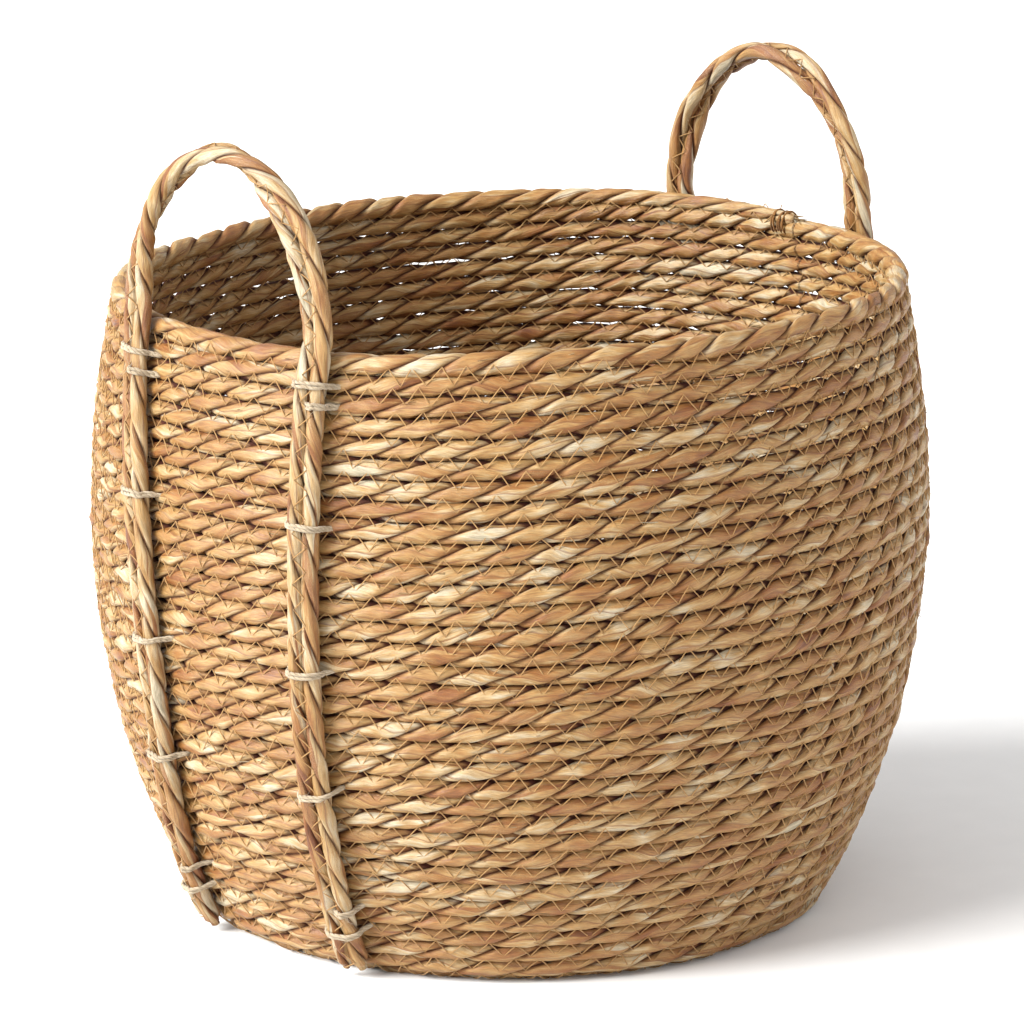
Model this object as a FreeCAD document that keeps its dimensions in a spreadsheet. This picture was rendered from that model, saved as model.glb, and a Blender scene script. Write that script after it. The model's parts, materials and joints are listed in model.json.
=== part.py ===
"""Seagrass storage basket with two rope handles, as a parametric FreeCAD document.

The row frame is in millimetres. +Z is up and z = 0 is the floor that the base stands on. The basket's
axis is the Z axis, and the two handles stand at -X (left) and +X (right), seen from -Y (the front).
"""
import FreeCAD, Part
import math
import os
import Sketcher

from FreeCAD import Placement, Rotation, Vector

# ---------------------------------------------------------------- driving dimensions (mm, degrees)
SIZES = {
    "belly_radius": 210.0,        # outer radius at the widest course
    "belly_height": 198.0,        # height of the widest course above the floor
    "foot_radius": 158.5,         # outer radius where the wall meets the floor
    "foot_round": 4.5,            # rounding of the lowest course's outer edge
    "rim_radius": 196.0,          # outer radius of the top course
    "rim_height": 320.0,          # top of the top course
    "rope_dia": 9.7,              # coiled rope of the base and the wall
    "rim_rope_dia": 10.4,         # thicker rope of the top course
    "course_count": 34.0,         # courses up the wall
    "seam_overlap": 0.4,          # how far sewn neighbours press into each other
    "thread_dia": 0.8,            # zig-zag sewing thread
    "thread_proud": 0.2,          # how far the wall's thread stands out of the courses
    "handle_rope_dia": 8.4,       # each of the two ropes of a handle band
    "band_gap": 0.2,              # between the two ropes of a band
    "leg_gap": 1.2,               # between the wall and a handle leg
    "hinge_radius": 192.0,        # distance of the bending line of a handle from the basket's axis
    "hinge_lift": 4.0,            # bending line above the rim
    "bend_half_length": 2.8,      # rope left free to bend, above and below the bending line
    "loop_half_width": 62.0,      # half the distance between a handle's two legs at the rim
    "loop_rise": 82.0,            # top of the loop's centre line above the bending line
    "leg_foot_height": 5.5,       # lower end of a leg's centre line
    "front_leg_angle": 17.5,      # front leg from the X axis, the same all the way down
    "back_leg_top_angle": 18.2,   # back leg from the X axis at the rim
    "back_leg_foot_angle": 19.0,  # back leg from the X axis at the foot
    "back_leg_bow": 8.5,          # how far the back leg bows towards the front leg halfway down
    "twine_dia": 1.7,             # jute twine of the ties
    "twine_wraps": 2.0,           # wraps in a tie
    "tie_slack": 0.3,             # between a tie and the ropes it holds
    "tie_corner": 2.4,            # inner corner radius of a tie
}

# Ties on each leg: share of the rim height, and whether the tie holds the whole band or one rope.
TIES = (
    ("rim_tie", 0.955, "band"),
    ("rim_stay", 0.925, "one_rope"),
    ("upper_tie", 0.745, "band"),
    ("middle_tie", 0.520, "band"),
    ("lower_tie", 0.325, "band"),
    ("foot_stay", 0.125, "one_rope"),
    ("foot_tie", 0.085, "band"),
)
SIDES = {"left": -1, "right": 1}
LEGS = {"front": -1, "back": 1}
ROPES = {"outer": 1, "inner": -1}
X_AXIS, Y_AXIS, Z_AXIS = Vector(1, 0, 0), Vector(0, 1, 0), Vector(0, 0, 1)

doc = FreeCAD.newDocument("seagrass_basket")


def make_sheet():
    """Put every driving dimension in the spreadsheet, one aliased row each."""
    sheet = doc.addObject("Spreadsheet::Sheet", "Sizes")
    for row, (alias, value) in enumerate(SIZES.items(), start=1):
        sheet.set(f"A{row}", alias)
        sheet.set(f"B{row}", str(value))
        sheet.setAlias(f"B{row}", alias)
    doc.recompute()
    return sheet


sizes = make_sheet()

# Radii of the wall's two outer arcs, as expressions on the sheet. Both are upright at the belly.
LOWER_DROP = "(Sizes.belly_radius - Sizes.foot_radius)"
LOWER_ARC = f"((Sizes.belly_height ^ 2 + {LOWER_DROP} ^ 2) / (2 * {LOWER_DROP}))"
UPPER_RISE = "(Sizes.rim_height - Sizes.belly_height)"
UPPER_DROP = "(Sizes.belly_radius - Sizes.rim_radius)"
UPPER_ARC = f"(({UPPER_RISE} ^ 2 + {UPPER_DROP} ^ 2) / (2 * {UPPER_DROP}))"


def arc_radius(rise, drop):
    """Radius of an arc that is upright at one end and leans in by drop over rise."""
    return (rise ** 2 + drop ** 2) / (2 * drop)


def outer_radius(height):
    """Outer radius of the wall at a height above the floor."""
    above = height - sizes.belly_height
    if above < 0:
        arc = arc_radius(sizes.belly_height, sizes.belly_radius - sizes.foot_radius)
    else:
        arc = arc_radius(sizes.rim_height - sizes.belly_height, sizes.belly_radius - sizes.rim_radius)
    return sizes.belly_radius - arc + math.sqrt(arc ** 2 - above ** 2)


def wall_slope(height):
    """Unit vector up the wall, as (radial, vertical) parts."""
    step = 0.5
    lean = (outer_radius(height + step) - outer_radius(height - step)) / (2 * step)
    size = math.hypot(lean, 1.0)
    return lean / size, 1.0 / size


def origin_plane(body, role):
    """The origin plane of a body that has the given role."""
    return next(plane for plane in body.Origin.OriginFeatures if plane.Role == role)


def new_sketch(body, name, role):
    """A sketch attached to one of its own body's origin planes."""
    sketch = body.newObject("Sketcher::SketchObject", name)
    sketch.AttachmentSupport = [(origin_plane(body, role), "")]
    sketch.MapMode = "FlatFace"
    return sketch


def bind(sketch, constraint, name, expression):
    """Add a named constraint to a sketch and bind it to an expression on the sheet."""
    index = sketch.addConstraint(constraint)
    sketch.renameConstraint(index, name)
    sketch.setExpression(f"Constraints.{name}", expression)


# ---------------------------------------------------------------- coiled rope of the body
def make_wall():
    """The coiled wall as one revolved shell, from the floor to the underside of the top course."""
    body = doc.addObject("PartDesign::Body", "wall_coil")
    sketch = new_sketch(body, "wall_section", "XZ_Plane")
    low = arc_radius(sizes.belly_height, sizes.belly_radius - sizes.foot_radius)
    high = arc_radius(sizes.rim_height - sizes.belly_height, sizes.belly_radius - sizes.rim_radius)
    thick = sizes.rope_dia
    top = sizes.rim_height - sizes.rim_rope_dia + sizes.seam_overlap
    low_centre = Vector(sizes.belly_radius - low, sizes.belly_height, 0)
    high_centre = Vector(sizes.belly_radius - high, sizes.belly_height, 0)

    def arc(centre, radius, height):
        angle = math.asin((height - sizes.belly_height) / radius)
        circle = Part.Circle(centre, Z_AXIS, radius)
        return Part.ArcOfCircle(circle, min(angle, 0.0), max(angle, 0.0))

    outer_low = sketch.addGeometry(arc(low_centre, low, 0.0))
    outer_high = sketch.addGeometry(arc(high_centre, high, top))
    inner_high = sketch.addGeometry(arc(high_centre, high - thick, top))
    inner_low = sketch.addGeometry(arc(low_centre, low - thick, 0.0))
    start, end, centre = 1, 2, 3

    def end_point(index, which):
        return sketch.getPoint(index, which)

    top_edge = sketch.addGeometry(
        Part.LineSegment(end_point(outer_high, end), end_point(inner_high, end)))
    bottom_edge = sketch.addGeometry(
        Part.LineSegment(end_point(inner_low, start), end_point(outer_low, start)))
    x_axis, origin, origin_point = -1, -1, 1
    for first, first_end, second, second_end in (
            (outer_low, end, outer_high, start), (outer_high, end, top_edge, start),
            (top_edge, end, inner_high, end), (inner_high, start, inner_low, end),
            (inner_low, start, bottom_edge, start), (bottom_edge, end, outer_low, start),
            (inner_high, centre, outer_high, centre), (inner_low, centre, outer_low, centre)):
        sketch.addConstraint(Sketcher.Constraint("Coincident", first, first_end, second, second_end))
    sketch.addConstraint(Sketcher.Constraint("Horizontal", top_edge))
    for which in (start, end):
        sketch.addConstraint(Sketcher.Constraint("PointOnObject", bottom_edge, which, x_axis))
    wall_top = "Sizes.rim_height - Sizes.rim_rope_dia + Sizes.seam_overlap"
    rim_drop = f"({UPPER_ARC} - sqrt({UPPER_ARC} ^ 2 - ({wall_top} - Sizes.belly_height) ^ 2))"
    dimensions = (
        ("belly_x", "DistanceX", outer_low, end, "Sizes.belly_radius"),
        ("belly_y", "DistanceY", outer_low, end, "Sizes.belly_height"),
        ("inner_belly_x", "DistanceX", inner_low, end, "Sizes.belly_radius - Sizes.rope_dia"),
        ("inner_belly_y", "DistanceY", inner_low, end, "Sizes.belly_height"),
        ("low_centre_y", "DistanceY", outer_low, centre, "Sizes.belly_height"),
        ("high_centre_y", "DistanceY", outer_high, centre, "Sizes.belly_height"),
        ("foot_x", "DistanceX", outer_low, start, "Sizes.foot_radius"),
        ("top_x", "DistanceX", outer_high, end, f"Sizes.belly_radius - {rim_drop}"),
        ("top_y", "DistanceY", outer_high, end, wall_top),
    )
    for name, kind, index, which, expression in dimensions:
        point = end_point(index, which)
        value = point.x if kind == "DistanceX" else point.y
        bind(sketch, Sketcher.Constraint(kind, origin, origin_point, index, which, value), name,
             expression)
    turn = body.newObject("PartDesign::Revolution", "wall_shell")
    turn.Profile = sketch
    turn.ReferenceAxis = (sketch, ["V_Axis"])
    turn.Angle = 360.0
    doc.recompute()
    outer_foot = f"Edge{1 + foot_edge_index(turn.Shape)}"
    fillet = body.newObject("PartDesign::Fillet", "foot_rounding")
    fillet.Base = (turn, [outer_foot])
    fillet.Radius = sizes.foot_round
    fillet.setExpression("Radius", "Sizes.foot_round")
    return body


def foot_edge_index(shape):
    """Index of the circular edge on the floor that is furthest from the axis."""
    def reach(index):
        box = shape.Edges[index].BoundBox
        return box.XMax if box.ZMax < 0.01 else -1.0
    return max(range(len(shape.Edges)), key=reach)


def make_base():
    """The flat coiled base, a round plate one rope thick that fills the wall's foot."""
    body = doc.addObject("PartDesign::Body", "base_coil")
    sketch = new_sketch(body, "base_outline", "XY_Plane")
    foot_depth = f"sqrt(({LOWER_ARC} - Sizes.rope_dia) ^ 2 - Sizes.belly_height ^ 2)"
    radius = f"Sizes.belly_radius - {LOWER_ARC} + {foot_depth} + Sizes.seam_overlap"
    circle = sketch.addGeometry(Part.Circle(Vector(0, 0, 0), Z_AXIS, sizes.foot_radius))
    sketch.addConstraint(Sketcher.Constraint("Coincident", circle, 3, -1, 1))
    bind(sketch, Sketcher.Constraint("Radius", circle, sizes.foot_radius), "base_radius", radius)
    pad = body.newObject("PartDesign::Pad", "base_plate")
    pad.Profile = sketch
    pad.setExpression("Length", "Sizes.rope_dia")
    return body


def make_rim():
    """The thicker top course, a closed ring that lies on the wall's top edge."""
    ring = doc.addObject("Part::Torus", "rim_course")
    ring.setExpression("Radius1", "Sizes.rim_radius - Sizes.rim_rope_dia / 2")
    ring.setExpression("Radius2", "Sizes.rim_rope_dia / 2")
    ring.setExpression("Placement.Base.z", "Sizes.rim_height - Sizes.rim_rope_dia / 2")
    return ring


def make_seam_ring(seam):
    """One thin ring of sewing thread in the seam above a course, half sunk in the wall's surface."""
    height = f"((Sizes.rim_height - Sizes.rim_rope_dia) * {seam} / Sizes.course_count)"
    lower = (sizes.rim_height - sizes.rim_rope_dia) * seam / sizes.course_count < sizes.belly_height
    arc = LOWER_ARC if lower else UPPER_ARC
    reach = f"(Sizes.belly_radius - {arc} + sqrt({arc} ^ 2 - ({height} - Sizes.belly_height) ^ 2))"
    discs = []
    for name, sunk in (("outer", 0), ("inner", 1)):
        disc = doc.addObject("Part::Cylinder", f"seam_{seam}_{name}")
        disc.setExpression("Radius", f"{reach} + Sizes.thread_proud - {sunk} * Sizes.thread_dia")
        disc.setExpression("Height", "Sizes.thread_dia")
        disc.setExpression("Placement.Base.z", f"{height} - Sizes.thread_dia / 2")
        discs.append(disc)
    ring = doc.addObject("Part::Cut", f"seam_{seam}_thread")
    ring.Base, ring.Tool = discs
    return ring


def make_body_stitching():
    """The sewing thread that joins course to course, one ring of it in each seam of the wall."""
    group = doc.addObject("Part::Compound", "body_stitching")
    group.Links = [make_seam_ring(seam) for seam in range(1, int(sizes.course_count))]
    return group


# ---------------------------------------------------------------- handles
def leg_angle(leg, share):
    """Angle of a leg from the X axis in degrees, at a share of the rim height."""
    if leg == "front":
        return sizes.front_leg_angle
    straight = sizes.back_leg_foot_angle + (sizes.back_leg_top_angle - sizes.back_leg_foot_angle) * share
    return straight - sizes.back_leg_bow * math.sin(math.pi * share)


def band_offset(leg, rope):
    """Which way along Y a rope lies from the middle of its band at a leg: -1 or 1."""
    return -ROPES[rope]


def half_band():
    """Distance of a rope's centre line from the middle of its band."""
    return (sizes.handle_rope_dia + sizes.band_gap) / 2


def leg_point(side, leg, height, across=0.0, out=0.0):
    """A point on a leg's band: across along +Y, out from the rope's centre line away from the wall."""
    reach = outer_radius(height) + sizes.leg_gap + sizes.handle_rope_dia / 2
    lean, rise = wall_slope(height)
    angle = math.radians(leg_angle(leg, height / sizes.rim_height)) + LEGS[leg] * across / reach
    radius = reach + out * rise
    x = SIDES[side] * radius * math.cos(angle)
    y = LEGS[leg] * radius * math.sin(angle)
    return Vector(x, y, height - out * lean)


def leg_path(side, leg, across=0.0, out=0.0):
    """Points down a leg's centre line, from just under the bending line to the foot."""
    top = sizes.rim_height + sizes.hinge_lift - sizes.bend_half_length
    y = LEGS[leg] * sizes.loop_half_width + across
    points = [Vector(SIDES[side] * (sizes.hinge_radius + out), y, top)]
    shares = (0.97, 0.85, 0.72, 0.58, 0.44, 0.30, 0.17, 0.08)
    points += [leg_point(side, leg, sizes.rim_height * share, across, out) for share in shares]
    points.append(leg_point(side, leg, sizes.leg_foot_height, across, out))
    return points


def loop_frame(side, turn):
    """Centre of a loop's band and its in-plane and face directions, turn from 0 (front) to pi (back)."""
    centre = Vector(SIDES[side] * sizes.hinge_radius, -sizes.loop_half_width * math.cos(turn),
                    sizes.rim_height + sizes.hinge_lift + sizes.loop_rise * math.sin(turn))
    normal = Vector(0, -sizes.loop_rise * math.cos(turn), sizes.loop_half_width * math.sin(turn))
    normal.normalize()
    outward = Vector(SIDES[side], 0, 0)
    share = turn / math.pi
    twist = math.pi * (3 * share ** 2 - 2 * share ** 3)
    across = normal * math.cos(twist) + outward * math.sin(twist)
    face = outward * math.cos(twist) - normal * math.sin(twist)
    return centre, across, face


def loop_path(side, across=0.0, out=0.0):
    """Points over a loop, both ends just above the bending line."""
    clear = sizes.bend_half_length
    first = math.asin(clear / sizes.loop_rise)
    spans = 14
    points = []
    for step in range(spans + 1):
        centre, along_band, face = loop_frame(side, first + (math.pi - 2 * first) * step / spans)
        points.append(centre + along_band * across + face * out)
    for index in (0, -1):
        points[index].z = sizes.rim_height + sizes.hinge_lift + clear
    return points


def rounded_path(points):
    """A wire through a route's points as straight runs, each corner rounded by a large tangent arc."""
    edges = []
    last = points[0]
    for before, corner, after in zip(points, points[1:], points[2:]):
        way_in = (corner - before).normalize()
        way_out = (after - corner).normalize()
        turn = way_in.getAngle(way_out)
        cut = 0.45 * min(corner.distanceToPoint(before), corner.distanceToPoint(after))
        radius = cut / math.tan(turn / 2)
        to_centre = (way_out - way_in).normalize() * (radius / math.cos(turn / 2))
        to_middle = (way_in - way_out).normalize() * radius
        start, end = corner - way_in * cut, corner + way_out * cut
        edges.append(Part.LineSegment(last, start).toShape())
        edges.append(Part.Arc(start, corner + to_centre + to_middle, end).toShape())
        last = end
    edges.append(Part.LineSegment(last, points[-1]).toShape())
    return Part.Wire(edges)


def sweep(name, points, diameter):
    """A round rope or thread of a diameter, bound to the sheet, along a route of points."""
    path = doc.addObject("Part::Feature", f"{name}_path")
    path.Shape = rounded_path(points)
    ring = doc.addObject("Part::Circle", f"{name}_section")
    ring.setExpression("Radius", f"Sizes.{diameter} / 2")
    ring.Placement = Placement(points[0], Rotation(Z_AXIS, points[1] - points[0]))
    tube = doc.addObject("Part::Sweep", name)
    tube.Sections = [ring]
    tube.Spine = (path, [f"Edge{index + 1}" for index in range(len(path.Shape.Edges))])
    tube.Solid = True
    tube.Frenet = False
    return tube


def make_leg_rope(side, leg, rope):
    """One rope of a leg. It stops just short of the bending line, where the rope is free to bend."""
    across = band_offset(leg, rope) * half_band()
    return sweep(f"{side}_handle_{leg}_leg_{rope}_rope", leg_path(side, leg, across),
                 "handle_rope_dia")


def thread_out():
    """How far a band's thread lies out of the plane of its two ropes, in the groove between them."""
    return 0.17 * sizes.handle_rope_dia


def make_leg_stitching(side, leg):
    """The thread that sews a leg's two ropes together, along the groove between them."""
    return sweep(f"{side}_handle_{leg}_leg_stitching", leg_path(side, leg, 0.0, thread_out())[1:],
                 "thread_dia")


def make_loop_rope(side, rope):
    """One rope of a loop. The band makes half a turn on its way over, so its flat side tops the loop."""
    return sweep(f"{side}_handle_loop_{rope}_rope", loop_path(side, ROPES[rope] * half_band()),
                 "handle_rope_dia")


def make_loop_stitching(side):
    """The thread that sews a loop's two ropes together."""
    return sweep(f"{side}_handle_loop_stitching", loop_path(side, 0.0, thread_out()), "thread_dia")


def rounded_rectangle(sketch, prefix, depth, width, corner, values):
    """A closed rectangle with round corners about the origin, its three sizes bound to the sheet."""
    half_depth, half_width, radius = values[0] / 2, values[1] / 2, values[2]
    quarter = math.pi / 2
    lines, arcs = [], []
    for index, (sx, sy) in enumerate(((1, 1), (-1, 1), (-1, -1), (1, -1))):
        centre = Vector(sx * (half_depth - radius), sy * (half_width - radius), 0)
        circle = Part.Circle(centre, Z_AXIS, radius)
        arcs.append(sketch.addGeometry(Part.ArcOfCircle(circle, index * quarter, (index + 1) * quarter)))
    for index in range(4):
        start = sketch.getPoint(arcs[index], 2)
        end = sketch.getPoint(arcs[(index + 1) % 4], 1)
        lines.append(sketch.addGeometry(Part.LineSegment(start, end)))
    for index in range(4):
        following = arcs[(index + 1) % 4]
        sketch.addConstraint(Sketcher.Constraint("Tangent", arcs[index], 2, lines[index], 1))
        sketch.addConstraint(Sketcher.Constraint("Tangent", lines[index], 2, following, 1))
        kind = "Horizontal" if index % 2 == 0 else "Vertical"
        sketch.addConstraint(Sketcher.Constraint(kind, lines[index]))
    for index in (1, 2, 3):
        sketch.addConstraint(Sketcher.Constraint("Equal", arcs[0], arcs[index]))
    bind(sketch, Sketcher.Constraint("Radius", arcs[0], radius), f"{prefix}_corner", corner)
    sketch.addConstraint(Sketcher.Constraint("Symmetric", lines[0], 1, lines[2], 1, -1, 1))
    bind(sketch, Sketcher.Constraint("DistanceX", arcs[1], 2, arcs[0], 1, 2 * half_depth),
         f"{prefix}_depth", depth)
    bind(sketch, Sketcher.Constraint("DistanceY", arcs[3], 1, arcs[0], 2, 2 * half_width),
         f"{prefix}_width", width)


def make_tie(side, leg, label, share, holds):
    """A closed loop of twine round a leg, through the wall and back. Its own X axis points outwards."""
    body = doc.addObject("PartDesign::Body", f"{side}_handle_{leg}_leg_{label}")
    sketch = new_sketch(body, "tie_outline", "XY_Plane")
    ropes = 2 if holds == "band" else 1
    width = f"{ropes} * Sizes.handle_rope_dia + Sizes.band_gap + 2 * Sizes.tie_slack"
    depth = "Sizes.rope_dia + Sizes.leg_gap + Sizes.handle_rope_dia + 2 * Sizes.tie_slack"
    width_mm = ropes * sizes.handle_rope_dia + sizes.band_gap + 2 * sizes.tie_slack
    depth_mm = sizes.rope_dia + sizes.leg_gap + sizes.handle_rope_dia + 2 * sizes.tie_slack
    twine = sizes.twine_dia
    rounded_rectangle(sketch, "inner", depth, width, "Sizes.tie_corner",
                      (depth_mm, width_mm, sizes.tie_corner))
    rounded_rectangle(sketch, "outer", f"{depth} + 2 * Sizes.twine_dia",
                      f"{width} + 2 * Sizes.twine_dia", "Sizes.tie_corner + Sizes.twine_dia",
                      (depth_mm + 2 * twine, width_mm + 2 * twine, sizes.tie_corner + twine))
    pad = body.newObject("PartDesign::Pad", "tie_wraps")
    pad.Profile = sketch
    pad.setExpression("Length", "Sizes.twine_dia * Sizes.twine_wraps")
    pad.Midplane = True
    height = sizes.rim_height * share
    lean, rise = wall_slope(height)
    across = 0.0 if holds == "band" else -half_band()
    leg_middle = leg_point(side, leg, height, across)
    sweep_angle = math.atan2(leg_middle.y, leg_middle.x)
    radial = Vector(math.cos(sweep_angle), math.sin(sweep_angle), 0)
    outward = radial * rise - Z_AXIS * lean
    up_wall = radial * lean + Z_AXIS * rise
    middle = leg_middle - outward * (depth_mm / 2 - sizes.tie_slack - sizes.handle_rope_dia / 2)
    body.Placement = Placement(middle, Rotation(outward, up_wall.cross(outward), up_wall, "ZXY"))
    return body


def make_handle(side):
    """Every piece of one handle: two legs of two ropes, the loop over them, thread and ties."""
    pieces = []
    for leg in LEGS:
        pieces += [make_leg_rope(side, leg, rope) for rope in ROPES]
        pieces.append(make_leg_stitching(side, leg))
        pieces += [make_tie(side, leg, label, share, holds) for label, share, holds in TIES]
    pieces += [make_loop_rope(side, rope) for rope in ROPES]
    pieces.append(make_loop_stitching(side))
    return pieces


def check_document(nodes):
    """Stop on any failed object, and on any sub-part whose shape is missing or not valid."""
    for item in doc.Objects:
        if any(word in item.State for word in ("Invalid", "Error")):
            raise RuntimeError(f"{item.Name} failed: {item.State}")
    for node in nodes:
        if node.Shape.isNull() or not node.Shape.isValid() or node.Shape.Volume <= 0:
            raise RuntimeError(f"{node.Label} has no valid shape")


def main():
    """Build every sub-part, check it, and write one STEP file per node."""
    nodes = [make_base(), make_wall(), make_rim(), make_body_stitching()]
    for side in SIDES:
        nodes += make_handle(side)
    for node in nodes:
        node.Label = node.Name
    doc.recompute()
    check_document(nodes)
    os.makedirs("parts", exist_ok=True)
    for node in nodes:
        node.Shape.exportStep(f"parts/{node.Label}.step")
        print(f"{node.Label}: {len(node.Shape.Solids)} solid(s), {node.Shape.Volume / 1000:.2f} cm3")


main()
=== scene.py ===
import json
import math

import bpy
import numpy as np
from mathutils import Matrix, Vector


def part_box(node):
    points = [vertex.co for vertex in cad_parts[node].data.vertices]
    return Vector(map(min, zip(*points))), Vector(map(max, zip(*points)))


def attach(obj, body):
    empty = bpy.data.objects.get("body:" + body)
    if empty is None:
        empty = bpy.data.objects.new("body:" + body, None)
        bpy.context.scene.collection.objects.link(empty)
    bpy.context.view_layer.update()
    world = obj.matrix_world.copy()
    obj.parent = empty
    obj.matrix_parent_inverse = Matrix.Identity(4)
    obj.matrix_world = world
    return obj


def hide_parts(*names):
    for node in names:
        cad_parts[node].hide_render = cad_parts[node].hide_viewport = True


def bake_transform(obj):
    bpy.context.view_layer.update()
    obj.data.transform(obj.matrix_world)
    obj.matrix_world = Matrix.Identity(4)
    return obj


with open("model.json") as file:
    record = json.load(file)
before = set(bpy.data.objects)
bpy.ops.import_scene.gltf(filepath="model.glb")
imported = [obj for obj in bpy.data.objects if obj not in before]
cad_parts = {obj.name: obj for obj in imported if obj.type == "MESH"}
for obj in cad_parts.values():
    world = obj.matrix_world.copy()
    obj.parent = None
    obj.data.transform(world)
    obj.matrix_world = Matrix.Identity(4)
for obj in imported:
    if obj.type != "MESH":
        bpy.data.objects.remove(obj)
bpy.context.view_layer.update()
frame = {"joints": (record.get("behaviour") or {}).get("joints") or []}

# Seagrass storage basket: one coil of two-strand twisted rope, zig-zag sewing thread in every seam, and
# two handles, each a band of two ropes sewn side by side and tied to the wall with jute twine. Metres.

# ------------------------------------------------------------------ sizes, from the frame
_, WALL_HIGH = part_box("wall_coil")
_, RIM_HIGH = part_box("rim_course")
BASE_LOW, BASE_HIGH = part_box("base_coil")
ROPE = BASE_HIGH.z - BASE_LOW.z
BELLY_RADIUS = WALL_HIGH.x
RIM_RADIUS = RIM_HIGH.x
RIM_HEIGHT = RIM_HIGH.z
BELLY_HEIGHT = 0.198
FOOT_RADIUS = 0.1585
HINGE = {joint["child"]: joint["pos_m"] for joint in frame["joints"]}
HINGE_RADIUS = abs(HINGE["left_handle"][0])
HINGE_HEIGHT = HINGE["left_handle"][2]

# ------------------------------------------------------------------ camera
CAMERA_AZIMUTH = math.radians(-45.7)
CAMERA_DISTANCE = 2.943
CAMERA_ELEVATION = math.radians(15.1)
CAMERA_PIVOT_HEIGHT = 0.168
AIM_HEIGHT = 0.1945
AIM_RIGHT = 0.0012
LENS = 205.5


def make_camera():
    """A long lens from the front left, a little above the rim."""
    data = bpy.data.cameras.new("camera")
    data.lens = LENS
    data.sensor_width = 36.0
    data.clip_end = 20.0
    camera = bpy.data.objects.new("camera", data)
    bpy.context.scene.collection.objects.link(camera)
    level = CAMERA_DISTANCE * math.cos(CAMERA_ELEVATION)
    camera.location = (level * math.sin(CAMERA_AZIMUTH), -level * math.cos(CAMERA_AZIMUTH),
                       CAMERA_PIVOT_HEIGHT + CAMERA_DISTANCE * math.sin(CAMERA_ELEVATION))
    aside = AIM_RIGHT * Vector((math.cos(CAMERA_AZIMUTH), math.sin(CAMERA_AZIMUTH), 0.0))
    way = Vector((0.0, 0.0, AIM_HEIGHT)) + aside - camera.location
    camera.rotation_euler = way.to_track_quat("-Z", "Y").to_euler()
    bpy.context.scene.camera = camera


make_camera()


# ------------------------------------------------------------------ numeric helpers
def seeded(number):
    """A random generator of its own for each use, so that every run gives the same basket."""
    return np.random.default_rng(number)


def wander(along, spacing, rng):
    """Smooth random wandering, about -1 to 1, along a length, with a new value every spacing."""
    place = (along - along.min()) / spacing
    knots = rng.normal(0.0, 0.5, int(place.max()) + 3)
    index = place.astype(int)
    share = place - index
    share = share * share * (3 - 2 * share)
    return knots[index] * (1 - share) + knots[index + 1] * share


def unit(vectors):
    """The vectors, each scaled to length 1."""
    return vectors / np.linalg.norm(vectors, axis=-1, keepdims=True)


def spread(points, step, *others):
    """Points along a line respaced evenly, with other values carried along."""
    gaps = np.linalg.norm(np.diff(points, axis=0), axis=1)
    length = np.concatenate([[0.0], np.cumsum(gaps)])
    even = np.linspace(0.0, length[-1], max(int(length[-1] / step), 2) + 1)
    result = []
    for values in (points, *others):
        result.append(np.stack([np.interp(even, length, values[:, k]) for k in range(values.shape[1])], 1))
    return result


def spline(points, per_span):
    """A smooth line through a list of points, with per_span steps between each pair."""
    p = np.asarray(points, float)
    p = np.concatenate([2 * p[:1] - p[1:2], p, 2 * p[-1:] - p[-2:-1]])
    t = np.linspace(0, 1, per_span, endpoint=False)[:, None]
    spans = []
    for a, b, c, d in zip(p, p[1:], p[2:], p[3:]):
        spans.append(0.5 * (2 * b + (c - a) * t + (2 * a - 5 * b + 4 * c - d) * t ** 2
                            + (3 * b - a - 3 * c + d) * t ** 3))
    return np.concatenate([*spans, p[-2:-1]])


def arc_radius(rise, drop):
    """Radius of an arc that is upright at one end and leans in by drop over rise."""
    return (rise ** 2 + drop ** 2) / (2 * drop)


LOWER_ARC = arc_radius(BELLY_HEIGHT, BELLY_RADIUS - FOOT_RADIUS)
UPPER_ARC = arc_radius(RIM_HEIGHT - BELLY_HEIGHT, BELLY_RADIUS - RIM_RADIUS)


def outer_radius(height):
    """Outer radius of the wall at a height above the floor."""
    above = np.asarray(height, float) - BELLY_HEIGHT
    arc = np.where(above < 0, LOWER_ARC, UPPER_ARC)
    return BELLY_RADIUS - arc + np.sqrt(arc ** 2 - above ** 2)


# ------------------------------------------------------------------ tube meshes
FLOOR_CLEARANCE = 0.0001


def tube_quads(rings):
    """Point numbers of the four-sided faces along one tube, given as rings of points (n, k, 3)."""
    n, k = rings.shape[:2]
    ring, spot = np.meshgrid(np.arange(n - 1), np.arange(k), indexing="ij")
    following = (spot + 1) % k
    return np.stack([ring * k + spot, ring * k + following, (ring + 1) * k + following,
                     (ring + 1) * k + spot], -1).reshape(-1, 4)


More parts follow.
